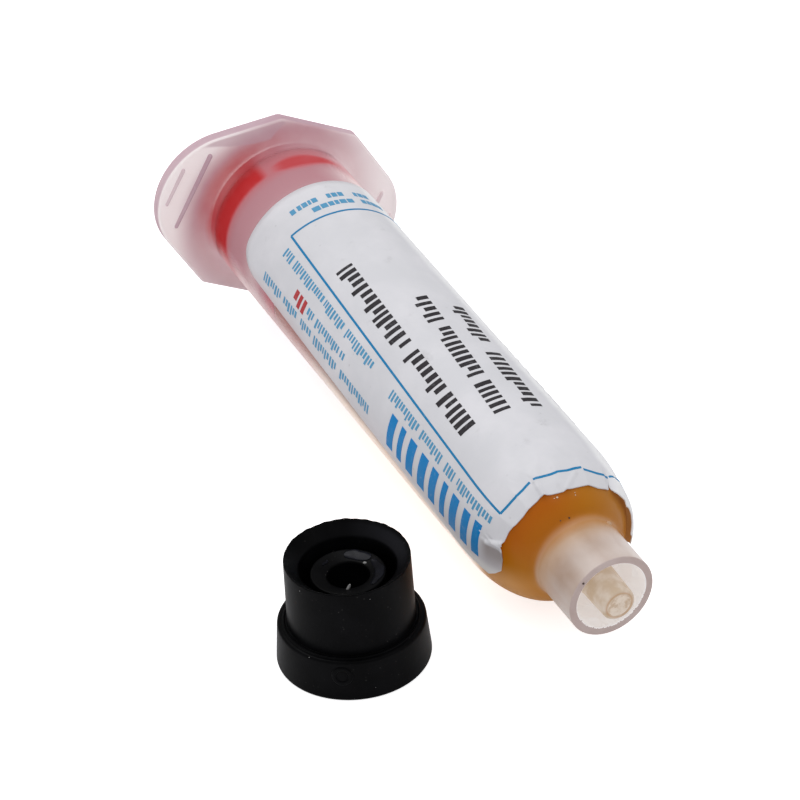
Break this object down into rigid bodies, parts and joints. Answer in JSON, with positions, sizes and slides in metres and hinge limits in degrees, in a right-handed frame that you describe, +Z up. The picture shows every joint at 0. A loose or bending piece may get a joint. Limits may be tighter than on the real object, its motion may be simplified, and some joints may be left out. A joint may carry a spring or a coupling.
{
  "type": "flux dispensing syringe",
  "caption": "Translucent dispensing syringe of amber soldering flux with a red piston and a white label, lying on its side, its black tip cap taken off and standing beside it.",
  "frame": {"origin": "middle of the base of the whole, on the surface that the syringe and its cap stand on", "axes": "+X the way the nozzle points, level with the surface; +Z up; the barrel's own axis dips 3.19 degrees towards the nozzle"},
  "size_m": [0.0862, 0.0482, 0.0257],
  "materials": {
    "barrel_plastic": "satin",
    "piston_plastic": "satin",
    "flux": "glossy",
    "label_film": "satin",
    "cap_plastic": "satin"
  },
  "bodies": {
    "barrel": {"barrel": "barrel_plastic", "label": "label_film", "flux_paste": "flux", "tip_cap": "cap_plastic"},
    "piston": {"piston": "piston_plastic"}
  },
  "joints": [
    {"name": "piston_slide", "type": "slide", "parent": "barrel", "child": "piston", "axis": [0.9985, 0, -0.0556], "range_m": [0, 0.047], "deforming": ["flux_paste"]}
  ]
}
